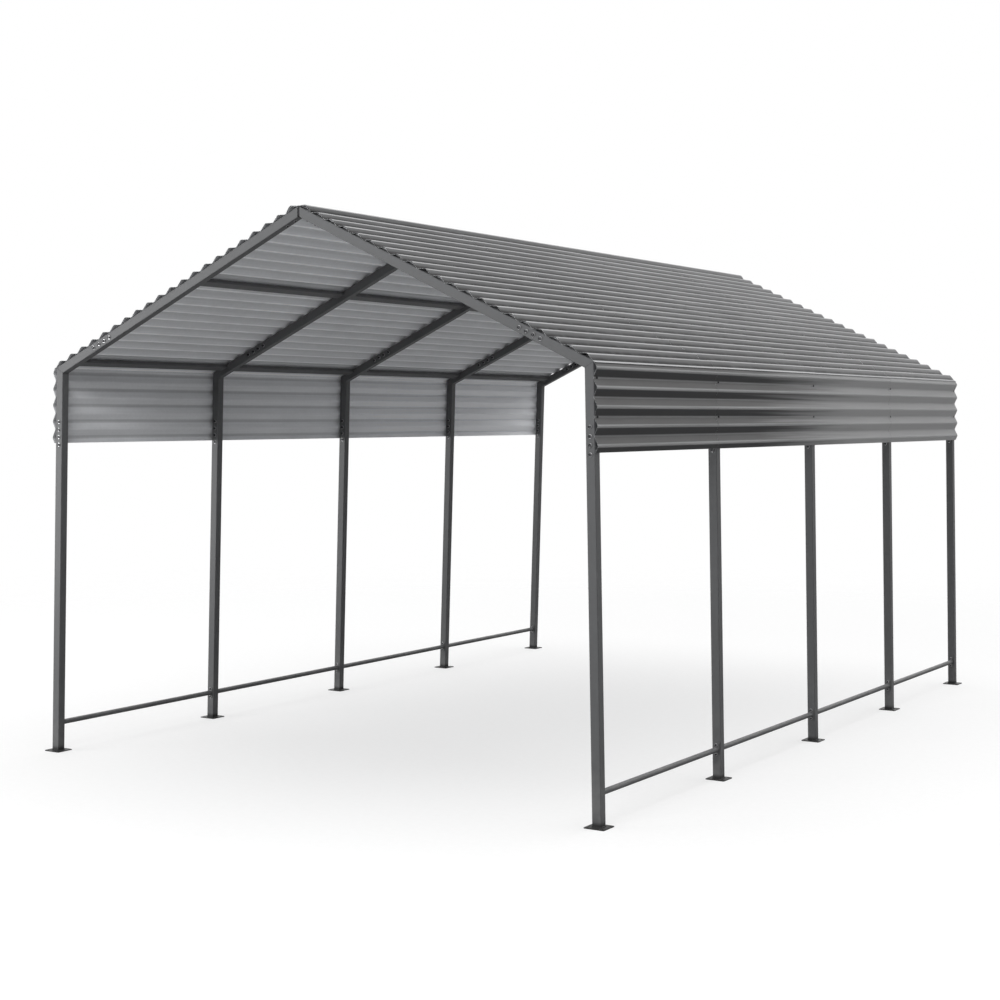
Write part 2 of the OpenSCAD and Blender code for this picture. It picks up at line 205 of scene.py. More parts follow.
class Lines:
    """Lines of the right half of the carport: eave corner, fold, slope and lean, worked out from the sizes."""

    def __init__(self):
        z = sizes()
        self.z = z
        self.slope = math.atan2(z.roof_rise, z.eave_w / 2)
        self.splay = math.atan2((z.base_w - z.eave_w) / 2, z.eave_h)
        self.eave = np.array((z.eave_w / 2, z.eave_h))
        self.up = np.array((-math.cos(self.slope), math.sin(self.slope)))
        self.down = np.array((math.sin(self.splay), -math.cos(self.splay)))
        self.rafter_len = math.hypot(z.eave_w / 2, z.roof_rise)
        self.ridge_top = z.eave_h + z.roof_rise + z.tube / 2 / math.cos(self.slope)
        half_turn = math.acos(float(self.up @ self.down)) / 2
        self.mitre_reach = z.tube / 2 / math.sin(half_turn)
        self.mitre = (self.up + self.down) / np.linalg.norm(self.up + self.down)
        self.fold = self.eave - self.mitre_reach * self.mitre
        self.slope_len = self.fold[0] / math.cos(self.slope)
        self.pitch = self.slope_len / z.slope_ribs
        self.rib_a = self.side_angle(z.rib_depth)
        self.cap_a = self.side_angle(z.cap_depth)
        self.lap_lift = (z.sheet_t + z.seat) / math.cos(self.rib_a)
        self.cap_seat = 2 * z.seat + z.sheet_t + self.lap_lift
        self.frame_y = (np.arange(1, z.frames + 1) - (z.frames + 1) / 2) * z.bay
        self.skirt_lip = self.lip_length()

    def lip_length(self):
        """Length of the skirt's top side, which ends the gap short of the roof sheet's underside."""
        z, side, turn = self.z, math.tan(self.rib_a), self.slope + self.splay
        s, h = bend(self, True, z.skirt_first, z.sheet_t / 2, z.rib_depth, self.rib_a, -BEND_STEPS, -BEND_STEPS)[0]
        rise = h - s * side + z.seat + z.sheet_t / 2
        top = (rise * math.tan(turn) + (z.skirt_gap - z.seat) / math.cos(turn)) / (1 - side * math.tan(turn))
        return (s - top) / math.cos(self.rib_a)

    def side_angle(self, depth):
        """Slope of the straight side of a corrugation: the common tangent of two equal bends."""
        run, fall = self.pitch / 2, depth - 2 * self.z.rib_r
        return math.asin(2 * self.z.rib_r / math.hypot(run, fall)) + math.atan2(fall, run)

    def on_slope(self, s, h):
        """X and Z of a point s down the roof slope and h off the rafter tops."""
        c, d = math.cos(self.slope), math.sin(self.slope)
        return np.stack((s * c + h * d, self.ridge_top - s * d + h * c), -1)

    def on_leg(self, s, h):
        """X and Z of a point s down the outer post face from the fold and h off it."""
        c, d = math.cos(self.splay), math.sin(self.splay)
        return np.stack((self.fold[0] + s * d + h * c, self.fold[1] - s * c + h * d), -1)


def placed(name, data):
    """Puts a mesh, lamp or camera into the scene as an object."""
    piece = bpy.data.objects.new(name, data)
    bpy.context.scene.collection.objects.link(piece)
    return piece


def put_mesh(name, verts, faces, slot_name, material, smooth_deg=32.0):
    """Makes a mesh object at the origin from points and faces, gives it its material and rides it on the body."""
    mesh = bpy.data.meshes.new(name)
    mesh.from_pydata(np.asarray(verts, float).reshape(-1, 3).tolist(), [], faces)
    mesh.validate()
    mesh.polygons.foreach_set("use_smooth", np.ones(len(mesh.polygons), bool))
    mesh.set_sharp_from_angle(angle=math.radians(smooth_deg))
    mesh.materials.append(material)
    piece = placed(name, mesh)
    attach(piece, "root")
    return piece


def grid_quads(rows, cols, close_rows=False, close_cols=False, flip=False):
    """Quads of a grid of rows by cols points, each side joined round where it is closed."""
    i = np.arange(rows if close_rows else rows - 1)[:, None]
    j = np.arange(cols if close_cols else cols - 1)[None, :]
    i2, j2 = (i + 1) % rows, (j + 1) % cols
    quads = np.stack(np.broadcast_arrays(i * cols + j, i2 * cols + j, i2 * cols + j2, i * cols + j2), -1)
    quads = quads.reshape(-1, 4)
    return quads[:, ::-1] if flip else quads


def bend(lines, crest, s, face, depth, angle, first, last):
    """Bend of a sheet face at distance s: an arc about the bend's centre, from side to side.

    The radius is the bend radius plus the face's offset on a crest, and minus it in a valley."""
    r0 = lines.z.rib_r
    radius = r0 + face if crest else r0 - face
    centre, way = (depth - r0, 1.0) if crest else (r0, -1.0)
    a = angle * np.arange(first, last + 1) / BEND_STEPS
    return np.stack((s + radius * np.sin(a), centre + way * radius * np.cos(a)), -1)


def waves(lines, face, first_crest, last_crest):
    """Crests and the valleys between them, one after another, along the slope distance."""
    n, p, z = BEND_STEPS, lines.pitch, lines.z
    runs = []
    for k in range(first_crest, last_crest + 1):
        runs.append(bend(lines, True, (k - 0.5) * p, face, z.rib_depth, lines.rib_a, -n, n))
        if k < last_crest:
            runs.append(bend(lines, False, k * p, face, z.rib_depth, lines.rib_a, -n, n))
    return np.concatenate(runs)


def upper_face(lines, face):
    """Upper sheet: half a valley at the ridge, crests and valleys, then a raised crest that laps the next."""
    n, p, z, a = BEND_STEPS, lines.pitch, lines.z, lines.rib_a
    last = z.upper_ribs
    lap = np.concatenate((bend(lines, True, (last - 0.5) * p, face, z.rib_depth, a, -n, n),
                          bend(lines, False, last * p, face, z.rib_depth, a, -n, -n)))
    return np.concatenate((bend(lines, False, 0.0, face, z.rib_depth, a, 0, n),
                           waves(lines, face, 1, last - 1),
                           bend(lines, False, (last - 1) * p, face, z.rib_depth, a, -n, n),
                           lap + (0.0, lines.lap_lift)))


def lower_face(lines, face):
    """Lower sheet: from the crest under the lap to half a valley and a flat edge past the fold."""
    n, z, a = BEND_STEPS, lines.z, lines.rib_a
    edge = np.array([(lines.slope_len + z.eave_overhang, face)])
    return np.concatenate((waves(lines, face, z.upper_ribs, z.slope_ribs),
                           bend(lines, False, lines.slope_len, face, z.rib_depth, a, -n, 0), edge))


def skirt_face(lines, face):
    """Skirt: a lip under the roof sheet, crests and valleys, and a hem below the last crest."""
    z, a = lines.z, lines.rib_a
    run = waves(lines, face, 1, z.skirt_ribs) + np.array((z.skirt_first - 0.5 * lines.pitch, 0.0))
    side = np.array((math.cos(a), math.sin(a)))
    return np.concatenate((run[:1] - lines.skirt_lip * side, run, run[-1:] + z.skirt_hem * side * (1.0, -1.0)))


def cap_face(lines, face):
    """Half the ridge cap: half a valley at the ridge, one high bead, and its outer side."""
    n, p, z, a = BEND_STEPS, lines.pitch, lines.z, lines.cap_a
    return np.concatenate((bend(lines, False, 0.0, face, z.cap_depth, a, 0, n),
                           bend(lines, True, 0.5 * p, face, z.cap_depth, a, -n, n),
                           bend(lines, False, p, face, z.cap_depth, a, -n, -n)))


def sheet_shell(outer, inner, y0, y1, stations):
    """A thin closed shell: the outline of both faces carried along Y, with its two ends closed.

    outer and inner are matching runs of X and Z. Points are on a grid of stations by outline."""
    ring = np.concatenate((outer, inner[::-1]))
    y = np.linspace(y0, y1, stations)
    verts = np.empty((stations, len(ring), 3))
    verts[..., 0], verts[..., 2] = ring[None, :, 0], ring[None, :, 1]
    verts[..., 1] = y[:, None]
    m, k = len(ring), len(outer)
    quads = grid_quads(stations, m, close_cols=True)
    a = np.arange(k - 1)
    end = np.stack((a, a + 1, m - 2 - a, m - 1 - a), -1)
    return verts.reshape(-1, 3), np.concatenate((quads, end, end[:, ::-1] + (stations - 1) * m))


def point_marks(piece, marks):
    """Writes per-point values that a material reads: backing and rise on a sheet, washer on a bolt."""
    for name, values in marks.items():
        layer = piece.data.attributes.new(name, "FLOAT", "POINT")
        layer.data.foreach_set("value", np.asarray(values, np.float32))


def corrugated(lines, name, side, face_of, place, replaced, pale_marked=(math.inf, math.inf)):
    """One row of corrugated sheets, bay by bay, every second one lifted onto its neighbours' ends.

    Between the two distances in pale_marked, down the profile, the outer coat gets a painted highlight like a
    crest's, at a lap or an edge."""
    z = lines.z
    outer, inner = face_of(lines, z.sheet_t / 2), face_of(lines, -z.sheet_t / 2)
    flags = np.concatenate((np.zeros(len(outer)), np.ones(len(inner))))
    # points in the lap or edge strip are marked as crest, so that they take the painted highlight
    highlight_strip = (outer[:, 0] > pale_marked[0]) & (outer[:, 0] < pale_marked[1])
    high = np.concatenate((np.where(highlight_strip, z.rib_depth, outer[:, 1]), inner[::-1, 1])) / z.rib_depth
    shells = []
    for y0, y1, lift in bay_spans(lines):
        off = z.seat + z.sheet_t / 2 + lift
        v, f = sheet_shell(place(outer[:, 0], outer[:, 1] + off), place(inner[:, 0], inner[:, 1] + off),
                           y0, y1, SHEET_STATIONS)
        shells.append((v * (side, 1.0, 1.0), (f if side > 0 else f[:, ::-1]).tolist()))
    piece = put_mesh(name, *joined(*shells), "sheet_paint", sheet_paint())
    repeat = SHEET_STATIONS * len(shells)
    point_marks(piece, {"backing": np.tile(flags, repeat), "rise": np.tile(high, repeat)})
    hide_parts(replaced)


def bay_spans(lines):
    """Start, end and lift of the sheet over each bay: the even ones lie on their neighbours."""
    z, y = lines.z, lines.frame_y
    edge = z.tube / 2 + z.sheet_overhang
    out = []
    for i in range(z.frames - 1):
        y0 = y[i] - (edge if i == 0 else z.end_lap / 2)
        y1 = y[i + 1] + (edge if i == z.frames - 2 else z.end_lap / 2)
        out.append((y0, y1, lines.lap_lift if i % 2 else 0.0))
    return out


def shader(tree, kind, links=None, **props):
    """Adds a node, sets its properties, and links or sets its inputs."""
    node = tree.nodes.new(kind)
    for key, value in props.items():
        setattr(node, key, value)
    for key, value in (links or {}).items():
        if isinstance(value, bpy.types.NodeSocket):
            tree.links.new(value, node.inputs[key])
        else:
            node.inputs[key].default_value = value
    return node


def maths(tree, operation, a, b=0.0, clamp=False):
    return shader(tree, "ShaderNodeMath", {0: a, 1: b}, operation=operation, use_clamp=clamp).outputs[0]


def times(tree, a, b, clamp=False):
    return maths(tree, "MULTIPLY", a, b, clamp)


def plus(tree, a, b, clamp=False):
    return maths(tree, "ADD", a, b, clamp)


def minus(tree, a, b):
    return maths(tree, "SUBTRACT", a, b)


def ranged(tree, value, lo, hi, to_lo=0.0, to_hi=1.0, kind="SMOOTHSTEP"):
    links = {"Value": value, "From Min": lo, "From Max": hi, "To Min": to_lo, "To Max": to_hi}
    return shader(tree, "ShaderNodeMapRange", links, interpolation_type=kind).outputs[0]


def grey(tree, level):
    return shader(tree, "ShaderNodeCombineColor", {0: level, 1: level, 2: level}).outputs[0]


def blended(tree, factor, a, b, mode="MIX"):
    node = shader(tree, "ShaderNodeMix", {0: factor, 6: a, 7: b}, data_type="RGBA", blend_type=mode)
    return node.outputs[2]


def shaded(tree, colour, level):
    """A colour made darker or lighter by a level about 1."""
    return blended(tree, 1.0, colour, grey(tree, level), "MULTIPLY")


def noise(tree, where, scale, detail=3.0, rough=0.55):
    return shader(tree, "ShaderNodeTexNoise", {"Vector": where, "Scale": scale, "Detail": detail,
                                               "Roughness": rough}).outputs["Fac"]


def stretched(tree, where, scale):
    """Coordinates scaled axis by axis, which draws a pattern out along the axis of least scale."""
    return shader(tree, "ShaderNodeMapping", {"Vector": where, "Scale": scale}, vector_type="POINT").outputs[0]


def axis_of(tree, vector, letter):
    return shader(tree, "ShaderNodeSeparateXYZ", {0: vector}).outputs[letter]


def upward(tree):
    """How far a face looks up: the Z of its normal."""
    return axis_of(tree, shader(tree, "ShaderNodeNewGeometry").outputs["Normal"], "Z")


def object_place(tree):
    return shader(tree, "ShaderNodeTexCoord").outputs["Object"]


def mark(tree, name):
    """The values of one name that point_marks wrote on the mesh."""
    return shader(tree, "ShaderNodeAttribute", attribute_name=name).outputs["Fac"]


def group(name, inputs, outputs):
    """A shader node group with named sockets; returns the tree, its input node and its output node."""
    tree = bpy.data.node_groups.new(name, "ShaderNodeTree")
    for label, kind, value in inputs:
        tree.interface.new_socket(label, in_out="INPUT", socket_type=kind).default_value = value
    for label, kind in outputs:
        tree.interface.new_socket(label, in_out="OUTPUT", socket_type=kind)
    return tree, tree.nodes.new("NodeGroupInput").outputs, tree.nodes.new("NodeGroupOutput").inputs


VECTOR, COLOUR, FLOAT = "NodeSocketVector", "NodeSocketColor", "NodeSocketFloat"


def paint_grain():
    """Paint: broad and fine mottling of the colour, uneven gloss, and the orange-peel skin of the coat."""
    name = "Paint grain"
    if name in bpy.data.node_groups:
        return bpy.data.node_groups[name]
    tree, given, out = group(name, [("Where", VECTOR, (0, 0, 0)), ("Colour", COLOUR, (0.5, 0.5, 0.5, 1)),
                                    ("Mottle", FLOAT, 0.12), ("Gloss", FLOAT, 0.4), ("Peel", FLOAT, 420.0)],
                             [("Colour", COLOUR), ("Roughness", FLOAT), ("Height", FLOAT)])
    broad = noise(tree, given["Where"], 2.6, 4.0)
    fine = noise(tree, given["Where"], 65.0, 3.0)
    skin = noise(tree, given["Where"], given["Peel"], 2.0)
    both = plus(tree, times(tree, broad, 0.6), times(tree, fine, 0.4))
    swing = times(tree, minus(tree, both, 0.5), times(tree, given["Mottle"], 2.0))
    tree.links.new(shaded(tree, given["Colour"], plus(tree, swing, 1.0)), out["Colour"])
    uneven = times(tree, minus(tree, broad, 0.5), 0.22)
    tree.links.new(plus(tree, given["Gloss"], uneven, clamp=True), out["Roughness"])
    tree.links.new(skin, out["Height"])
    return tree


def site_dust():
    """Dust: thicker near the floor and on faces that look up, broken up by noise."""
    name = "Site dust"
    if name in bpy.data.node_groups:
        return bpy.data.node_groups[name]
    tree, given, out = group(name, [("Where", VECTOR, (0, 0, 0)), ("Colour", COLOUR, (0.5, 0.5, 0.5, 1)),
                                    ("Dust", COLOUR, (0.4, 0.4, 0.4, 1)), ("Reach", FLOAT, 0.35),
                                    ("Low", FLOAT, 0.3), ("Settled", FLOAT, 0.1)],
                             [("Colour", COLOUR), ("Mask", FLOAT)])
    height = axis_of(tree, given["Where"], "Z")
    patch = ranged(tree, noise(tree, given["Where"], 9.0, 5.0, 0.62), 0.34, 0.72)
    splash = times(tree, ranged(tree, height, given["Reach"], 0.0), given["Low"])
    up_facing_share = times(tree, ranged(tree, upward(tree), 0.55, 1.0), given["Settled"])
    mask = times(tree, plus(tree, splash, up_facing_share), patch, clamp=True)
    tree.links.new(blended(tree, mask, given["Colour"], given["Dust"]), out["Colour"])
    tree.links.new(mask, out["Mask"])
    return tree


def scuffs():
    """Scuffs: short stretched scratches and small chips, few and far between."""
    name = "Scuffs"
    if name in bpy.data.node_groups:
        return bpy.data.node_groups[name]
    tree, given, out = group(name, [("Where", VECTOR, (0, 0, 0)), ("Amount", FLOAT, 0.3)], [("Mask", FLOAT)])
    drawn = stretched(tree, given["Where"], (90.0, 90.0, 9.0))
    scratches = ranged(tree, noise(tree, drawn, 1.0, 2.0, 0.4), 0.74, 0.80)
    where = ranged(tree, noise(tree, given["Where"], 5.0, 2.0), 0.56, 0.66)
    chips = ranged(tree, noise(tree, given["Where"], 130.0, 1.0), 0.78, 0.82)
    both = maths(tree, "MAXIMUM", times(tree, scratches, where), times(tree, chips, where))
    tree.links.new(times(tree, both, given["Amount"], clamp=True), out["Mask"])
    return tree


def use(tree, node_tree, **links):
    """Places a group in a material, with its own values."""
    return shader(tree, "ShaderNodeGroup", links, node_tree=node_tree).outputs


def rgba(colour):
    return (*colour, 1.0)


def emptied(holder):
    """The node tree of a material or world, with its nodes cleared."""
    holder.use_nodes = True
    holder.node_tree.nodes.clear()
    return holder.node_tree


def new_material(name):
    """An empty material with a Principled shader wired to its output."""
    mat = bpy.data.materials.new(name)
    tree = emptied(mat)
    body = tree.nodes.new("ShaderNodeBsdfPrincipled")
    tree.links.new(body.outputs[0], tree.nodes.new("ShaderNodeOutputMaterial").inputs[0])
    return mat, tree, body


def coated(tree, body, colour, rough, height, strength, distance):
    """Links a coat's colour, roughness and bump to the Principled shader."""
    tree.links.new(colour, body.inputs["Base Color"])
    tree.links.new(rough, body.inputs["Roughness"])
    bump = shader(tree, "ShaderNodeBump", {"Height": height, "Strength": strength, "Distance": distance})
    tree.links.new(bump.outputs[0], body.inputs["Normal"])


def frame_paint():
    """Satin charcoal powder coat: orange peel, faint mottling, scuffs, dust near the floor and painted shade on
    the base plates.
    """
    name = "Frame powder coat"
    if name in bpy.data.materials:
        return bpy.data.materials[name]
    mat, tree, body = new_material(name)
    where = object_place(tree)
    grain = use(tree, paint_grain(), Where=where, Colour=rgba(finish().frame_colour), Mottle=0.16, Gloss=0.40,
                Peel=520.0)
    scuff = use(tree, scuffs(), Where=where, Amount=0.30)
    pale_marked = blended(tree, scuff["Mask"], grain["Colour"], rgba(finish().bare_colour))
    dusty = use(tree, site_dust(), Where=where, Colour=pale_marked, Dust=rgba(finish().dust_colour), Reach=0.42,
                Low=0.22, Settled=0.10)
    # painted shade: darker towards the floor, on the base plates and the foot of each post
    plate_shade = ranged(tree, axis_of(tree, where, "Z"), PLATE_SHADE_TOP, PLATE_SHADE_FULL, 0.0, 0.88)
    plate_shaded = blended(tree, plate_shade, dusty["Colour"], rgba(finish().shade_colour))
    rough = plus(tree, grain["Roughness"], times(tree, dusty["Mask"], 0.5), clamp=True)
    coated(tree, body, plate_shaded, rough, grain["Height"], 0.10, 0.0004)
    body.inputs["Specular IOR Level"].default_value = 0.12
    return mat


def sheet_paint():
    """Coil-coated sheet: dark outer coat, pale backing coat, rolling lines, painted highlights on the crests and
    painted shade in the roof valleys.

    Painted sheen makes the outer coat paler towards the rear, in streaks. The backing has painted shade in its
    hollows and painted highlights on its ridges, and the inner skirts are painted lighter towards the rear."""
    name = "Sheet coil coat"
    if name in bpy.data.materials:
        return bpy.data.materials[name]
    mat, tree, body = new_material(name)
    where = object_place(tree)
    along = axis_of(tree, where, "Y")
    looks_up = upward(tree)
    backing, rise = mark(tree, "backing"), mark(tree, "rise")
    outer = minus(tree, 1.0, backing)
    slope = ranged(tree, maths(tree, "ABSOLUTE", looks_up), 0.50, 0.60)
    roof = times(tree, slope, outer)
    skirt = minus(tree, outer, roof)

    # coats, rolling lines, and on the backing painted shade in its hollows and painted highlights on its ridges
    coat = blended(tree, ranged(tree, backing, 0.45, 0.55), rgba(finish().sheet_colour),
                   rgba(finish().back_colour))
    grain = use(tree, paint_grain(), Where=where, Colour=coat, Mottle=0.14, Gloss=0.46, Peel=300.0)
    roll = noise(tree, stretched(tree, where, (70.0, 0.9, 70.0)), 1.0, 3.0)
    lined = shaded(tree, grain["Colour"], plus(tree, times(tree, minus(tree, roll, 0.5), 0.24), 1.0))
    # painted light on the roof's backing: a thin painted highlight along its lowest lines and painted shade in its
    # hollows
    overhead = plus(tree, ranged(tree, rise, 0.0, 1.0, 0.06, -0.12, "LINEAR"),
                    ranged(tree, rise, 0.10, 0.0, 0.0, 0.30))
    # painted light on the skirts' backing: painted shadow lines at the hollows and painted light growing towards
    # the rear
    hanging = plus(tree, ranged(tree, rise, 0.70, 0.98, 0.0, -0.28),
                   ranged(tree, along, -1.2, 2.2, 0.0, 0.55, "LINEAR"))
    swing = plus(tree, times(tree, overhead, slope), times(tree, hanging, minus(tree, 1.0, slope)))
    backing_lit = shaded(tree, lined, plus(tree, times(tree, swing, backing), 1.0))

    # dust and painted light on the skirts, painted shade in the roof valleys, painted sheen towards the rear, and
    # painted highlights on crests, skirt valleys, laps and the eave edge
    # partly real dust and partly painted light: the skirts' up-facing flanks are made paler as if lit from above
    up_facing_share = times(tree, times(tree, ranged(tree, looks_up, 0.1, 0.45), skirt), 0.17)
    dusted_and_lit = blended(tree, up_facing_share, backing_lit, rgba(finish().dust_colour))
    # painted shade in the roof valleys, broken up by noise
    low = times(tree, ranged(tree, rise, 0.72, 0.15), roof)
    patch = ranged(tree, noise(tree, where, 14.0, 5.0), 0.25, 0.6, 0.6, 1.0)
    valley_shade = times(tree, times(tree, low, 0.95), patch)
    valley_shaded = blended(tree, valley_shade, dusted_and_lit, rgba(finish().shade_colour))
    # painted sheen: the outer coat turns paler towards the rear, in streaks, strongest on the skirts' down-facing
    # flanks and slight on the roof
    streak = plus(tree, along, times(tree, roll, 1.6))
    skirt_sheen = times(tree, skirt, ranged(tree, looks_up, -0.4, 0.4, 1.0, 0.70))
    blend_share = plus(tree, times(tree, skirt_sheen, ranged(tree, streak, -0.05, 1.45)),
                times(tree, roof, ranged(tree, streak, -1.2, 3.3, 0.0, 0.18, "LINEAR")))
    rear_sheened = blended(tree, blend_share, valley_shaded, rgba(finish().highlight_colour))
    # painted highlights: pale lines along the outer crests, along the skirts' valleys, and on the lap and eave
    # strips
    crest = times(tree, ranged(tree, rise, 0.84, 0.985), outer)
    valley_highlight = times(tree, times(tree, ranged(tree, rise, 0.07, 0.03), skirt), 0.6)
    highlight = times(tree, maths(tree, "MAXIMUM", crest, valley_highlight),
                  ranged(tree, roll, 0.30, 0.70, 0.54, 0.92, "LINEAR"))
    highlighted = blended(tree, highlight, rear_sheened, rgba(finish().highlight_colour))
    dull = times(tree, plus(tree, plus(tree, up_facing_share, valley_shade), highlight), 0.25)
    rough = plus(tree, grain["Roughness"], dull, clamp=True)
    coated(tree, body, highlighted, rough, grain["Height"], 0.06, 0.0003)
    body.inputs["Specular IOR Level"].default_value = 0.06
    return mat


def black_plate(name, colour):
    """Black-plated steel: faint blotches and uneven gloss, dulled by dust.

    What is marked as washer is bright zinc."""
    if name in bpy.data.materials:
        return bpy.data.materials[name]
    mat, tree, body = new_material(name)
    where = object_place(tree)
    plated = blended(tree, mark(tree, "washer"), rgba(colour), rgba(finish().washer_colour))
    grain = use(tree, paint_grain(), Where=where, Colour=plated, Mottle=0.35, Gloss=0.36, Peel=900.0)
    dusty = use(tree, site_dust(), Where=where, Colour=grain["Colour"], Dust=rgba(finish().dust_colour),
                Reach=0.3, Low=0.20, Settled=0.06)
    coated(tree, body, dusty["Colour"], grain["Roughness"], grain["Height"], 0.08, 0.0002)
    body.inputs["Metallic"].default_value = 0.8
    return mat


def turned(rings, sides):
    """A turned piece: rings of (radius, height, hex share) swept round its axis, closed at both ends.

    A point's radius is the ring's own, blended with that of a hexagon of that flat-to-flat half width."""
    rings = np.asarray(rings, float)
    a = np.arange(sides) * 2 * math.pi / sides
    hexed = 1.0 / np.cos((a + math.pi / 6) % (math.pi / 3) - math.pi / 6)
    radius = rings[:, :1] * (1.0 + rings[:, 2:] * (hexed - 1.0)[None, :])
    verts = np.stack((radius * np.cos(a), radius * np.sin(a),
                      np.broadcast_to(rings[:, 1:2], radius.shape)), -1).reshape(-1, 3)
    quads = grid_quads(len(rings), sides, close_cols=True, flip=True)
    foot = np.arange(sides)[::-1]
    top = np.arange(sides) + (len(rings) - 1) * sides
    return verts, quads, np.stack((foot, top))


def scattered(template, places, normals, across, turns=None):
    """Copies of a template set on places, its axis along each normal and turned about it."""
    verts, quads, caps = template
    normals, across = (np.broadcast_to(np.asarray(v, float), places.shape) for v in (normals, across))
    zed = normals / np.linalg.norm(normals, axis=-1, keepdims=True)
    ex = across - (across * zed).sum(-1, keepdims=True) * zed
    ex /= np.linalg.norm(ex, axis=-1, keepdims=True)
    wy = np.cross(zed, ex)
    if turns is not None:
        c, d = np.cos(turns)[:, None], np.sin(turns)[:, None]
        ex, wy = c * ex + d * wy, c * wy - d * ex
    basis = np.stack((ex, wy, zed), -1)
    out = np.einsum("nij,vj->nvi", basis, verts) + places[:, None, :]
    step = (np.arange(len(places)) * len(verts))[:, None, None]
    faces = (quads[None] + step).reshape(-1, quads.shape[-1]).tolist()
    return out.reshape(-1, 3), faces + (caps[None] + step).reshape(-1, caps.shape[-1]).tolist()


def joined(*parts):
    """Several point and face sets as one."""
    verts, faces, base = [], [], 0
    for v, f in parts:
        verts.append(v)
        faces += [[k + base for k in face] for face in f] if base else f
        base += len(v)
    return np.concatenate(verts), faces


def bolt_head(half_flat, washer_r, washer_t, head_h, shank_r=0.0, shank_h=0.0):
    """Hex head on a washer: flat washer, chamfered hexagon, and a thread end where it is a nut."""
    top = washer_t + head_h
    rings = [(washer_r, 0.0, 0.0), (washer_r, washer_t * 0.8, 0.0), (washer_r * 0.97, washer_t, 0.0),
             (half_flat * 0.99, washer_t, 0.6), (half_flat, washer_t + head_h * 0.08, 1.0),
             (half_flat, washer_t + head_h * 0.78, 1.0), (half_flat * 0.93, top, 0.15)]
    if shank_h:
        rings += [(shank_r, top, 0.0), (shank_r, top + shank_h * 0.8, 0.0), (shank_r * 0.8, top + shank_h, 0.0)]
    else:
        rings += [(half_flat * 0.55, top - head_h * 0.10, 0.0)]
    return turned(rings, BOLT_SIDES)


def washer_marks(kind, count):
    """Marks of count bolts of one kind: 1 on the washer, which takes up the head's first rings."""
    return np.tile(np.arange(len(kind[0])) < WASHER_RINGS * BOLT_SIDES, count)


def put_bolts(name, verts, faces, marks):
    """Puts black bolts into the scene, with their washers marked."""
    piece = put_mesh(name, verts, faces, "bolt_steel", black_plate("Black bolt", finish().bolt_colour))
    point_marks(piece, {"washer": marks})


def roof_screw():
    """Roofing screw: soft sealing washer, domed metal washer and a low hex head."""
    return turned([(0.0050, 0.0, 0), (0.0056, 0.0010, 0), (0.0052, 0.0017, 0), (0.0046, 0.0022, 0),
                   (0.0036, 0.0024, 0.7), (0.0036, 0.0050, 1.0), (0.0032, 0.0055, 0.2)], 12)


def swept(path, radius, sides, closed, ripple=0.0, ripple_pitch=0.005):
    """A round bead carried along a path: circles square to it, their radius rippled along its length."""
    path = np.asarray(path, float)
    if closed:
        tangent = np.roll(path, -1, 0) - np.roll(path, 1, 0)
    else:
        tangent = np.gradient(path, axis=0)
    tangent /= np.linalg.norm(tangent, axis=-1, keepdims=True)
    axis = np.linalg.svd(path - path.mean(0))[2][-1]
    side = np.cross(tangent, axis)
    side /= np.linalg.norm(side, axis=-1, keepdims=True)
    lift = np.cross(side, tangent)
    length = np.concatenate(([0.0], np.cumsum(np.linalg.norm(np.diff(path, axis=0), axis=-1))))
    r = radius * (1.0 + ripple * np.sin(2 * math.pi * length / ripple_pitch))
    if not closed:
        r = r * np.sqrt(np.clip(np.minimum(length, length[-1] - length) / (2 * radius), 0.12, 1.0))
    a = np.arange(sides) * 2 * math.pi / sides
    rings = (path[:, None] + r[:, None, None] * (np.cos(a)[None, :, None] * side[:, None]
                                                 + np.sin(a)[None, :, None] * lift[:, None]))
    quads = grid_quads(len(path), sides, close_rows=closed, close_cols=True)
    faces = quads.tolist()
    if not closed:
        faces += [np.arange(sides).tolist(), (np.arange(sides)[::-1] + (len(path) - 1) * sides).tolist()]
    return rings.reshape(-1, 3), faces


def rounded_run(corners, radius, closed, step=0.0016):
    """Path through corners in a plane with rounded turns, at even steps: lines joined by arcs."""
    corners = np.asarray(corners, float)
    n = len(corners)
    points = []
    for k in range(n):
        if not closed and k in (0, n - 1):
            points.append(corners[k:k + 1])
            continue
        before, here, after = corners[k - 1], corners[k], corners[(k + 1) % n]
        u = (before - here) / np.linalg.norm(before - here)
        v = (after - here) / np.linalg.norm(after - here)
        t = np.linspace(0.0, 1.0, 7)[:, None]
        points.append(here + radius * (u * (1 - t) ** 2 + v * t ** 2))
    run = np.concatenate(points)
    if closed:
        run = np.concatenate((run, run[:1]))
    length = np.concatenate(([0.0], np.cumsum(np.linalg.norm(np.diff(run, axis=0), axis=-1))))
    at = np.linspace(0.0, length[-1], max(8, int(length[-1] / step)), endpoint=not closed)
    return np.stack([np.interp(at, length, run[:, d]) for d in range(run.shape[1])], -1)


def at_y(flat, y):
    """Points with the X and Z of a flat run, set at Y."""
    return np.stack((flat[:, 0], np.broadcast_to(y, len(flat)), flat[:, 1]), -1)


def both_sides(points):
    """Points of the right side and their mirror on the left."""
    points = np.asarray(points, float)
    return np.concatenate((points, points * (-1.0, 1.0, 1.0)))


class CARPORT_OT_frame(bpy.types.Operator):
    """Paint the frame tubes, plates, purlins and rails, and plate the sleeves"""
    bl_idname = "carport.frame"
    bl_label = "Paint the frame"

    def execute(self, context):
        by_slot = {"frame_paint": frame_paint(), "sheet_paint": sheet_paint(),
                   "bolt_steel": black_plate("Black sleeve", finish().sleeve_colour)}
        for sub in frame["record"]["subparts"]:
            node = frame["nodes"][sub["node"]]
            for place in node.material_slots:
                place.material = by_slot[sub["material_slot"]]
        return {"FINISHED"}


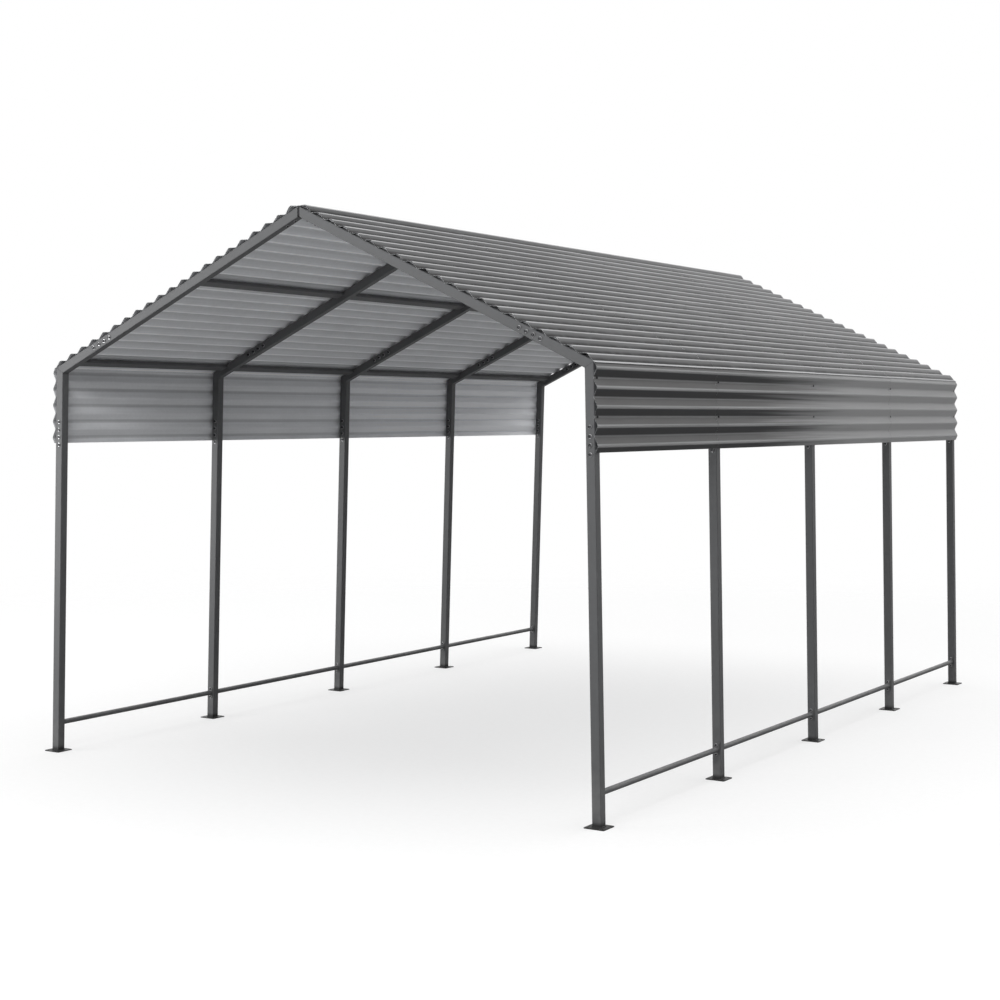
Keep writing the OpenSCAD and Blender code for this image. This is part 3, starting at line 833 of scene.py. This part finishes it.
class CARPORT_OT_roof(bpy.types.Operator):
    """Make the corrugated sheets of both slopes, upper and lower"""
    bl_idname = "carport.roof"
    bl_label = "Make the roof sheets"

    def execute(self, context):
        lines = Lines()
        # the strip at the upper sheet's lap and the strip at the eave edge get a painted highlight
        lap, edge = (lines.z.upper_ribs - 0.5) * lines.pitch, lines.slope_len
        for name, side in SIDES:
            corrugated(lines, "sheet_upper_" + name, side, upper_face, lines.on_slope, "roof_upper_" + name,
                       (lap - LAP_HIGHLIGHT[0], lap + LAP_HIGHLIGHT[1]))
            corrugated(lines, "sheet_lower_" + name, side, lower_face, lines.on_slope, "roof_lower_" + name,
                       (edge - EDGE_HIGHLIGHT, math.inf))
        return {"FINISHED"}


class CARPORT_OT_skirts(bpy.types.Operator):
    """Make the corrugated skirts below the eaves"""
    bl_idname = "carport.skirts"
    bl_label = "Make the skirts"

    def execute(self, context):
        lines = Lines()
        for name, side in SIDES:
            corrugated(lines, "sheet_skirt_" + name, side, skirt_face, lines.on_leg, "skirt_" + name)
        return {"FINISHED"}


class CARPORT_OT_cap(bpy.types.Operator):
    """Make the ridge cap with its two beads"""
    bl_idname = "carport.cap"
    bl_label = "Make the ridge cap"

    def execute(self, context):
        lines = Lines()
        z = lines.z
        stations = 4 * SHEET_STATIONS
        off = lines.cap_seat + z.sheet_t / 2 - CAP_EASE
        halves, rises = [], []
        for face in (z.sheet_t / 2, -z.sheet_t / 2):
            flat = cap_face(lines, face)
            right = lines.on_slope(flat[:, 0], flat[:, 1] + off)
            keep = right[:, 0] > ON_CENTRE
            right, high = right[keep], flat[keep, 1] / z.cap_depth
            middle = np.array([(0.0, lines.on_slope(np.zeros(1), np.full(1, face + off))[0, 1])])
            halves.append(np.concatenate((right[::-1] * (-1.0, 1.0), middle, right)))
            rises.append(np.concatenate((high[::-1], [0.0], high)))
        count = min(len(h) for h in halves)
        trim = [slice((len(h) - count) // 2, (len(h) + count) // 2) for h in halves]
        outer, inner = halves[0][trim[0]], halves[1][trim[1]]
        reach = lines.frame_y[-1] + z.tube / 2 + z.sheet_overhang
        verts, faces = sheet_shell(outer, inner, -reach, reach, stations)
        piece = put_mesh("sheet_ridge_cap", verts, faces.tolist(), "sheet_paint", sheet_paint())
        flags = np.concatenate((np.zeros(count), np.ones(count)))
        high = np.concatenate((rises[0][trim[0]], rises[1][trim[1]][::-1]))
        point_marks(piece, {"backing": np.tile(flags, stations), "rise": np.tile(high, stations)})
        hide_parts("ridge_cap")
        return {"FINISHED"}


class CARPORT_OT_splices(bpy.types.Operator):
    """Set the bolts and nuts of the post, rafter and ridge splices"""
    bl_idname = "carport.splices"
    bl_label = "Set the splice bolts"

    def execute(self, context):
        lines = Lines()
        z = lines.z
        near, far = z.splice_near, z.splice_far
        along = z.knee_arm + np.array((-far, -near, near, far))
        leg = lines.eave + along[:, None] * lines.down
        rafter = lines.eave + along[:, None] * lines.up
        flat = np.tile(np.concatenate((leg, rafter)), (z.frames, 1))
        y = np.repeat(lines.frame_y, 2 * len(along))
        rng = np.random.default_rng(11)
        sets, marks = [], []
        for way, kind in ((-1.0, bolt_head(**SPLICE_BOLT)), (1.0, bolt_head(**SPLICE_NUT))):
            places = both_sides(at_y(flat, y + way * z.tube / 2))
            turns = rng.uniform(0, 2 * math.pi, len(places))
            sets.append(scattered(kind, places, (0.0, way, 0.0), UP, turns))
            marks.append(washer_marks(kind, len(places)))
        out = np.array((math.sin(lines.slope), math.cos(lines.slope)))
        ridge = lines.eave + (lines.rafter_len - z.ridge_arm * np.array(RIDGE_BOLTS))[:, None] * lines.up
        ridge = np.tile(ridge - out * z.tube / 2, (z.frames, 1))
        places = both_sides(at_y(ridge, np.repeat(lines.frame_y, len(RIDGE_BOLTS))))
        normals = both_sides(np.tile((-out[0], 0.0, -out[1]), (len(ridge), 1)))
        kind = bolt_head(**SMALL_BOLT)
        sets.append(scattered(kind, places, normals, ALONG))
        marks.append(washer_marks(kind, len(places)))
        put_bolts("splice_bolts", *joined(*sets), np.concatenate(marks))
        return {"FINISHED"}


class CARPORT_OT_rail_bolts(bpy.types.Operator):
    """Set the bolts that hold the ground rails' flanges to the posts"""
    bl_idname = "carport.rail_bolts"
    bl_label = "Set the rail bolts"

    def execute(self, context):
        lines = Lines()
        z = lines.z
        centre = np.array((z.base_w / 2 - z.rail_h * math.tan(lines.splay), z.rail_h))
        spots = centre + np.array((-1.0, 1.0))[:, None] * RAIL_BOLT_REACH * lines.down
        face = z.tube / 2 + z.butt_gap + z.flange_t
        ends = [(y + face, 1.0) for y in lines.frame_y[:-1]] + [(y - face, -1.0) for y in lines.frame_y[1:]]
        places = np.array([(x, y, h) for y, way in ends for x, h in spots])
        normals = np.repeat([(0.0, way, 0.0) for y, way in ends], len(spots), axis=0)
        places, normals = both_sides(places), np.tile(normals, (2, 1))
        turns = np.random.default_rng(12).uniform(0, 2 * math.pi, len(places))
        kind = bolt_head(**SMALL_BOLT)
        put_bolts("rail_bolts", *scattered(kind, places, normals, UP, turns), washer_marks(kind, len(places)))
        return {"FINISHED"}


class CARPORT_OT_screws(bpy.types.Operator):
    """Set the roofing screws in the valleys over the rafters and purlins and down the skirts"""
    bl_idname = "carport.screws"
    bl_label = "Set the roof screws"

    def execute(self, context):
        lines = Lines()
        z, p = lines.z, lines.pitch
        base = z.seat + z.sheet_t + SCREW_LIFT
        lifts = lines.lap_lift * (np.arange(z.frames - 1) % 2)
        frame_lift = np.maximum(np.append(lifts, 0.0), np.append(0.0, lifts))
        valley = np.arange(2, z.slope_ribs - 1, 3)
        valley = valley[valley != z.upper_ribs] * p
        s, h = np.meshgrid(valley, base + frame_lift)
        roof = [at_y(lines.on_slope(s.ravel(), h.ravel()), np.repeat(lines.frame_y, len(valley)))]
        share = np.arange(1, 4) / 4.0
        for centre in (z.mid_purlin_s, lines.slope_len - z.eave_purlin_s):
            y = (lines.frame_y[:-1, None] + share * z.bay).ravel()
            h = np.repeat(base + lifts, len(share))
            roof.append(at_y(lines.on_slope(np.full(len(y), round(centre / p) * p), h), y))
        roof = np.concatenate(roof)
        down = z.skirt_first + (np.arange(0, z.skirt_ribs - 1, 2) + 0.5) * p
        s, h = np.meshgrid(down, base + frame_lift)
        leg = at_y(lines.on_leg(s.ravel(), h.ravel()), np.repeat(lines.frame_y, len(down)))
        roof_n = np.tile((math.sin(lines.slope), 0.0, math.cos(lines.slope)), (len(roof), 1))
        leg_n = np.tile((math.cos(lines.splay), 0.0, math.sin(lines.splay)), (len(leg), 1))
        places = both_sides(np.concatenate((roof, leg)))
        normals = both_sides(np.concatenate((roof_n, leg_n)))
        turns = np.random.default_rng(14).uniform(0, 2 * math.pi, len(places))
        verts, faces = scattered(roof_screw(), places, normals, ALONG, turns)
        piece = put_mesh("sheet_screws", verts, faces, "sheet_paint", sheet_paint())
        point_marks(piece, {"backing": np.zeros(len(verts)), "rise": np.full(len(verts), 0.5)})
        return {"FINISHED"}


class CARPORT_OT_welds(bpy.types.Operator):
    """Run the weld beads at the knees, feet, rail flanges and purlin ends"""
    bl_idname = "carport.welds"
    bl_label = "Run the welds"

    def execute(self, context):
        lines = Lines()
        z = lines.z
        half = z.tube / 2
        stretch = lines.mitre_reach / half
        stop = -KNEE_OPEN * half
        run = rounded_run([(stop, -half), (half, -half), (half, half), (stop, half)], z.tube_r, closed=False)
        knee = np.stack((lines.eave[0] + run[:, 0] * stretch * lines.mitre[0], run[:, 1],
                         lines.eave[1] + run[:, 0] * stretch * lines.mitre[1]), -1)
        ring = rounded_run([(-half, -half), (half, -half), (half, half), (-half, half)], z.tube_r, closed=True)
        foot_z = z.plate_t + FOOT_LIFT
        foot = np.stack((z.base_w / 2 - foot_z * math.tan(lines.splay) + ring[:, 0], ring[:, 1],
                         np.full(len(ring), foot_z)), -1)
        a = np.linspace(0.0, 2 * math.pi, 40, endpoint=False)
        rail = np.stack((z.base_w / 2 - z.rail_h * math.tan(lines.splay) + z.rail_d / 2 * np.cos(a),
                         np.zeros(len(a)), z.rail_h + z.rail_d / 2 * np.sin(a)), -1)
        w, h = z.purlin_w / 2, z.purlin_h
        stop = -PURLIN_OPEN * h
        u_run = rounded_run([(-w, stop), (-w, -h), (w, -h), (w, stop)], PURLIN_TURN, closed=False)
        beads = {name: [] for name in BEAD_R}

        def bead(name, path, closed):
            ripple = CLOSED_RIPPLE if closed else OPEN_RIPPLE
            beads[name].append(swept(path, BEAD_R[name], BEAD_SIDES, closed, ripple))

        for i, y in enumerate(lines.frame_y):
            bead("knee_welds", knee + (0, y, 0), False)
            bead("foot_welds", foot + (0, y, 0), True)
            for way in (-1.0, 1.0):
                if (way < 0 and i == 0) or (way > 0 and i == z.frames - 1):
                    continue
                flange = y + way * (half + z.butt_gap + z.flange_t + BEAD_LIFT)
                bead("rail_welds", rail + (0, flange, 0), True)
                for s in (z.mid_purlin_s, lines.slope_len - z.eave_purlin_s):
                    flat = lines.on_slope(s + u_run[:, 0], u_run[:, 1])
                    bead("purlin_welds", at_y(flat, y + way * (half + BEAD_LIFT)), False)
        for name, parts in beads.items():
            verts, faces = joined(*parts)
            mirror = (verts * (-1.0, 1.0, 1.0), [f[::-1] for f in faces])
            verts, faces = joined((verts, faces), mirror)
            put_mesh(name, verts, faces, "frame_paint", frame_paint(), 60.0)
        return {"FINISHED"}


def floor_material(glow, bounce):
    """Pale floor: part of what the camera sees is white, so that shadows stay light, fading out far away."""
    mat = bpy.data.materials.new("Pale floor")
    tree = emptied(mat)
    where = object_place(tree)
    path = shader(tree, "ShaderNodeLightPath").outputs
    far = shader(tree, "ShaderNodeVectorMath", {0: where}, operation="LENGTH").outputs["Value"]
    speckle = ranged(tree, noise(tree, where, 30.0, 4.0), 0.3, 0.7, 0.80, 0.84, "LINEAR")
    level = ranged(tree, path["Is Camera Ray"], 0.0, 1.0, bounce, speckle, "LINEAR")
    matt = shader(tree, "ShaderNodeBsdfDiffuse", {"Color": grey(tree, level)}).outputs[0]
    white = shader(tree, "ShaderNodeEmission", {"Color": (1, 1, 1, 1), "Strength": 1.0}).outputs[0]
    clear = shader(tree, "ShaderNodeBsdfTransparent").outputs[0]
    seen = times(tree, path["Is Camera Ray"], glow)
    top = shader(tree, "ShaderNodeMixShader", {0: seen, 1: matt, 2: white}).outputs[0]
    blend_share = times(tree, ranged(tree, far, *FLOOR_FADE), path["Is Camera Ray"])
    mixed = shader(tree, "ShaderNodeMixShader", {0: blend_share, 1: top, 2: clear}).outputs[0]
    tree.links.new(mixed, tree.nodes.new("ShaderNodeOutputMaterial").inputs[0])
    return mat


def soft_panel(name, watts, size, place, aim):
    """A soft rectangular lamp that the camera doesn't see."""
    panel = bpy.data.lights.new(name, "AREA")
    panel.shape = "RECTANGLE"
    panel.size, panel.size_y = size
    panel.energy = watts
    lamp = placed(name, panel)
    lamp.location = place
    lamp.rotation_euler = (Vector(aim) - lamp.location).to_track_quat("-Z", "Y").to_euler()
    lamp.visible_camera = False


class CARPORT_OT_stage(bpy.types.Operator):
    """Set up the floor, the lamps, the white surround and the camera"""
    bl_idname = "carport.stage"
    bl_label = "Set the stage"

    def execute(self, context):
        scene = context.scene
        stage = scene.carport_stage
        scene.view_settings.view_transform = "Standard"
        radius = np.linspace(0.02, FLOOR_R, FLOOR_RINGS)[:, None]
        turn = np.linspace(0, 2 * math.pi, FLOOR_SIDES, endpoint=False)[None, :]
        level = np.full((FLOOR_RINGS, FLOOR_SIDES), -FLOOR_DROP)
        verts = np.stack((radius * np.cos(turn), radius * np.sin(turn), level), -1)
        faces = grid_quads(FLOOR_RINGS, FLOOR_SIDES, close_cols=True).tolist() + [list(range(FLOOR_SIDES))]
        mesh = bpy.data.meshes.new("floor")
        mesh.from_pydata(verts.reshape(-1, 3).tolist(), [], faces)
        mesh.materials.append(floor_material(stage.floor_glow, stage.bounce))
        floor = placed("floor", mesh)

        world = bpy.data.worlds.new("Studio")
        scene.world = world
        tree = emptied(world)
        path = shader(tree, "ShaderNodeLightPath").outputs
        seen = maths(tree, "MAXIMUM", maths(tree, "MAXIMUM", path["Is Camera Ray"], path["Is Glossy Ray"]),
                     path["Is Transmission Ray"])
        aim = shader(tree, "ShaderNodeTexCoord").outputs["Generated"]
        level = ranged(tree, axis_of(tree, aim, "Z"), 0.0, 0.8, 0.6 * stage.sky, 1.4 * stage.sky)
        dim = shader(tree, "ShaderNodeBackground", {"Color": (1, 1, 1, 1), "Strength": level}).outputs[0]
        white = shader(tree, "ShaderNodeBackground", {"Color": (1, 1, 1, 1), "Strength": 1.0}).outputs[0]
        mixed = shader(tree, "ShaderNodeMixShader", {0: seen, 1: dim, 2: white}).outputs[0]
        tree.links.new(mixed, tree.nodes.new("ShaderNodeOutputWorld").inputs[0])

        key = bpy.data.lights.new("key", "SUN")
        key.energy = stage.key
        key.angle = KEY_ANGLE
        placed("key", key).rotation_euler = Vector(KEY_AIM).to_track_quat("-Z", "Y").to_euler()
        soft_panel("sheen", stage.sheen, **SHEEN_PANEL)
        soft_panel("fill", stage.fill, **FILL_PANEL)

        cam = bpy.data.cameras.new("camera")
        cam.sensor_width = 36.0
        cam.lens = stage.lens
        cam.clip_end = 200.0
        eye = placed("camera", cam)
        pitch, roll, yaw = stage.turn
        eye.matrix_world = (Matrix.Translation(stage.eye) @ Matrix.Rotation(yaw, 4, "Z")
                            @ Matrix.Rotation(math.pi / 2 - pitch, 4, "X") @ Matrix.Rotation(roll, 4, "Z"))
        scene.camera = eye
        return {"FINISHED"}


OPERATORS = (CARPORT_OT_frame, CARPORT_OT_roof, CARPORT_OT_skirts, CARPORT_OT_cap, CARPORT_OT_splices,
             CARPORT_OT_rail_bolts, CARPORT_OT_screws, CARPORT_OT_welds, CARPORT_OT_stage)


class CARPORT_PT_panel(bpy.types.Panel):
    """Buttons and values for the carport"""
    bl_label = "Carport"
    bl_idname = "CARPORT_PT_panel"
    bl_space_type = "VIEW_3D"
    bl_region_type = "UI"
    bl_category = "Carport"

    def draw(self, context):
        for kind in OPERATORS:
            self.layout.operator(kind.bl_idname)
        for holder in (context.scene.carport_sizes, context.scene.carport_finish, context.scene.carport_stage):
            column = self.layout.column(align=True)
            for key in holder.__annotations__:
                column.prop(holder, key)


CLASSES = (CarportSizes, CarportFinish, CarportStage, *OPERATORS, CARPORT_PT_panel)


def register():
    for kind in CLASSES:
        bpy.utils.register_class(kind)
    bpy.types.Scene.carport_sizes = PointerProperty(type=CarportSizes)
    bpy.types.Scene.carport_finish = PointerProperty(type=CarportFinish)
    bpy.types.Scene.carport_stage = PointerProperty(type=CarportStage)


def unregister():
    del bpy.types.Scene.carport_stage
    del bpy.types.Scene.carport_finish
    del bpy.types.Scene.carport_sizes
    for kind in reversed(CLASSES):
        bpy.utils.unregister_class(kind)


def main():
    register()
    bpy.ops.carport.stage()
    bpy.ops.carport.frame()
    bpy.ops.carport.roof()
    bpy.ops.carport.skirts()
    bpy.ops.carport.cap()
    bpy.ops.carport.splices()
    bpy.ops.carport.rail_bolts()
    bpy.ops.carport.screws()
    bpy.ops.carport.welds()


if __name__ == "__main__":
    main()
